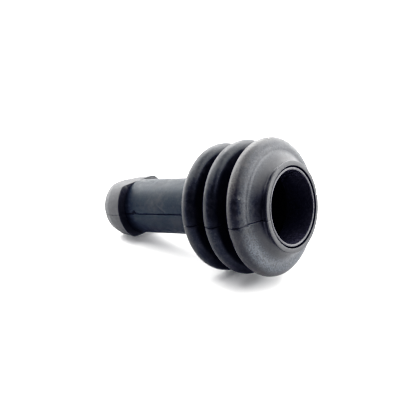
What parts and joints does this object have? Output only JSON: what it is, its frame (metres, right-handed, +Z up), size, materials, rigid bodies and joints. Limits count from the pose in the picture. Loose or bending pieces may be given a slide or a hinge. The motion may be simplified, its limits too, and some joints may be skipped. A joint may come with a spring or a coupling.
{
  "type": "ribbed pour spout",
  "caption": "Soft rubber pour spout: barbed outlet tube, hollow three-rib bellows that seals and flexes, flared collar and a thin liner in its round mouth.",
  "frame": {"origin": "on the ground, under the centre of the box of the spout as it lies at rest", "axes": "+X is the level direction that the mouth looks along, +Z is up; the turning axis lies in the XZ plane and climbs 12.14 degrees towards the mouth"},
  "size_m": [0.045, 0.024, 0.0253],
  "materials": {
    "tip_rubber": "matte black rubber, slightly dusty",
    "tube_rubber": "smooth satin black rubber with a parting line",
    "bellows_rubber": "matte black rubber with fine grain",
    "collar_rubber": "matte black rubber with fine grain",
    "liner_finish": "satin black, thin hard sleeve"
  },
  "bodies": {
    "spout": {"barbed_tip": "tip_rubber", "spout_tube": "tube_rubber", "rear_rib": "bellows_rubber"},
    "bellows": {"middle_rib": "bellows_rubber", "front_rib": "bellows_rubber"},
    "mouthpiece": {"collar": "collar_rubber", "liner_sleeve": "liner_finish"}
  },
  "joints": [
    {"name": "bellows_bend", "type": "hinge", "parent": "spout", "child": "bellows", "pos_m": [0.00699, 0, 0.01142], "axis": [-0.2104, 0, 0.9776], "range_deg": [-12, 12], "stiffness_Nm_per_rad": 0.05, "deforming": ["rear_rib"]},
    {"name": "bellows_squeeze", "type": "slide", "parent": "bellows", "child": "mouthpiece", "axis": [-0.9776, 0, -0.2104], "range_m": [-0.0015, 0.0035], "stiffness_N_per_m": 1000, "deforming": ["middle_rib", "front_rib"]}
  ]
}
